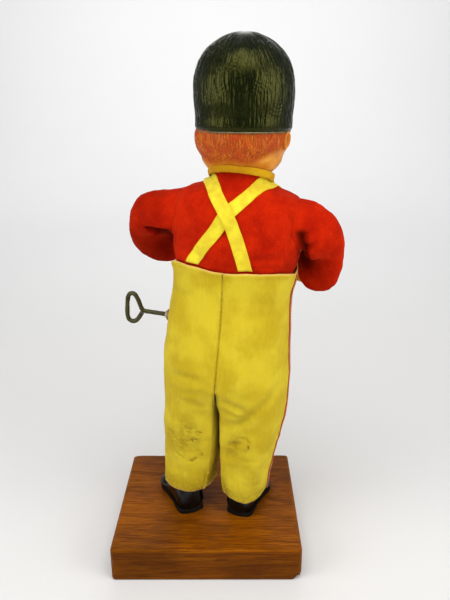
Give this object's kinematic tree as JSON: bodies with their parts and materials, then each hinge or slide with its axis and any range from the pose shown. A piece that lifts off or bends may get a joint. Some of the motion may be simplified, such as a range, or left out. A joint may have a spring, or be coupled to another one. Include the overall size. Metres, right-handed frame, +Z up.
{
  "type": "wind-up toy drummer figure",
  "caption": "Clockwork toy drummer in a tall bearskin cap, felt jacket and cotton trousers, with a side winding key and a drum at the waist, screwed to a wooden block.",
  "frame": {"origin": "centre of the wooden block's underside", "axes": "+Z up; X along the block's long side, +X to the figure's left hand and winding key; the figure looks towards -Y"},
  "size_m": [0.1181, 0.1137, 0.269],
  "materials": {
    "bearskin": "moulded fur grooves, gloss paint",
    "blued_steel": "dark, aged",
    "brass": "plain",
    "drum_paint": "gloss paint",
    "drum_skin": "stiff card, cream",
    "hoop_paint": "gloss paint",
    "moulded_head": "painted composition, hair and skin",
    "orange_braid": "braid",
    "painted_arm": "skin-coloured paint",
    "red_felt": "wool felt",
    "shoe_black": "gloss black paint",
    "steel": "plain",
    "stick_wood": "plain turned",
    "tinplate": "bare tin-coated sheet",
    "walnut": "stained, worn satin",
    "yellow_cotton": "woven cotton, worn",
    "yellow_tape": "woven tape"
  },
  "bodies": {
    "standing_figure": {"base_screw_left": "steel", "base_screw_right": "steel", "body_back": "tinplate", "body_front": "tinplate", "collar": "yellow_cotton", "drum_bracket": "tinplate", "drum_hoop_bottom": "hoop_paint", "drum_hoop_top": "hoop_paint", "drum_shell": "drum_paint", "drum_skin_bottom": "drum_skin", "drum_skin_top": "drum_skin", "hip_plate": "tinplate", "jacket": "red_felt", "key_bush": "brass", "leg_left": "tinplate", "leg_right": "tinplate", "mainspring": "blued_steel", "motor_pillar_1": "brass", "motor_pillar_2": "brass", "motor_pillar_3": "brass", "motor_pillar_4": "brass", "motor_plate_left": "steel", "motor_plate_right": "steel", "neck_post": "steel", "shoe_left": "shoe_black", "shoe_right": "shoe_black", "side_stripe_left": "orange_braid", "side_stripe_right": "orange_braid", "strap_over": "yellow_tape", "strap_under": "yellow_tape", "trousers": "yellow_cotton", "wood_base": "walnut"},
    "great_wheel_body": {"great_wheel": "brass"},
    "click_body": {"click": "steel"},
    "winding_body": {"winding_arbor": "steel", "ratchet_wheel": "steel", "wind_key": "blued_steel"},
    "second_body": {"second_arbor": "steel", "second_wheel": "brass"},
    "crank_body": {"crank_shaft": "steel", "crank_wheel": "brass", "crank_disc_left": "brass", "crank_disc_right": "brass"},
    "fan_body": {"fan_arbor": "steel", "fan": "brass"},
    "rod_left_body": {"connecting_rod_left": "steel"},
    "rod_right_body": {"connecting_rod_right": "steel"},
    "arm_left_body": {"arm_shaft_left": "steel", "arm_left": "painted_arm", "drumstick_left": "stick_wood", "sleeve_left": "red_felt", "cuff_left": "yellow_cotton"},
    "arm_right_body": {"arm_shaft_right": "steel", "arm_right": "painted_arm", "drumstick_right": "stick_wood", "sleeve_right": "red_felt", "cuff_right": "yellow_cotton"},
    "head_body": {"head": "moulded_head", "hat": "bearskin"}
  },
  "joints": [
    {"name": "great_wheel_turn", "type": "hinge", "parent": "standing_figure", "child": "great_wheel_body", "pos_m": [-0.01366, 0.003, 0.12853], "axis": [0.9679, -0.2419, 0.0677], "continuous": true},
    {"name": "click_lift", "type": "hinge", "parent": "great_wheel_body", "child": "click_body", "pos_m": [-0.01133, 0.01193, 0.12719], "axis": [-0.9679, 0.2419, -0.0677], "range_deg": [0, 12]},
    {"name": "key_wind", "type": "hinge", "parent": "great_wheel_body", "child": "winding_body", "pos_m": [-0.01366, 0.003, 0.12853], "axis": [0.9679, -0.2419, 0.0677], "continuous": true},
    {"name": "second_arbor_turn", "type": "hinge", "parent": "standing_figure", "child": "second_body", "pos_m": [-0.01375, 0.00785, 0.14723], "axis": [0.9679, -0.2419, 0.0677], "continuous": true},
    {"name": "crank_turn", "type": "hinge", "parent": "standing_figure", "child": "crank_body", "pos_m": [-0.01728, -0.00564, 0.14947], "axis": [0.9679, -0.2419, 0.0677], "continuous": true},
    {"name": "fan_turn", "type": "hinge", "parent": "standing_figure", "child": "fan_body", "pos_m": [-0.01654, -0.0004, 0.15763], "axis": [0.9679, -0.2419, 0.0677], "continuous": true},
    {"name": "left_arm_swing", "type": "hinge", "parent": "standing_figure", "child": "arm_left_body", "pos_m": [0.01436, -0.00498, 0.18683], "axis": [-0.9679, 0.2419, -0.0677], "range_deg": [-20, 0]},
    {"name": "right_arm_swing", "type": "hinge", "parent": "standing_figure", "child": "arm_right_body", "pos_m": [-0.04952, 0.01098, 0.18236], "axis": [-0.9679, 0.2419, -0.0677], "range_deg": [0, 20]},
    {"name": "left_rod_slide", "type": "slide", "parent": "standing_figure", "child": "rod_left_body", "axis": [-0.0698, 0, 0.9976], "range_m": [-0.00341, 0]},
    {"name": "right_rod_slide", "type": "slide", "parent": "standing_figure", "child": "rod_right_body", "axis": [-0.0698, 0, 0.9976], "range_m": [0, 0.00341]},
    {"name": "head_turn", "type": "hinge", "parent": "standing_figure", "child": "head_body", "pos_m": [-0.01897, 0.003, 0.20455], "axis": [-0.0108, -0.0215, 0.9997], "range_deg": [-30, 30]}
  ],
  "couplings": [
    {"joint": "second_arbor_turn", "follows": "great_wheel_turn", "ratio": -3},
    {"joint": "crank_turn", "follows": "great_wheel_turn", "ratio": 12},
    {"joint": "fan_turn", "follows": "great_wheel_turn", "ratio": -36},
    {"joint": "right_arm_swing", "follows": "left_arm_swing", "ratio": -1},
    {"joint": "left_rod_slide", "follows": "left_arm_swing", "m_per_rad": 0.0097503},
    {"joint": "right_rod_slide", "follows": "left_arm_swing", "m_per_rad": -0.0097503}
  ]
}
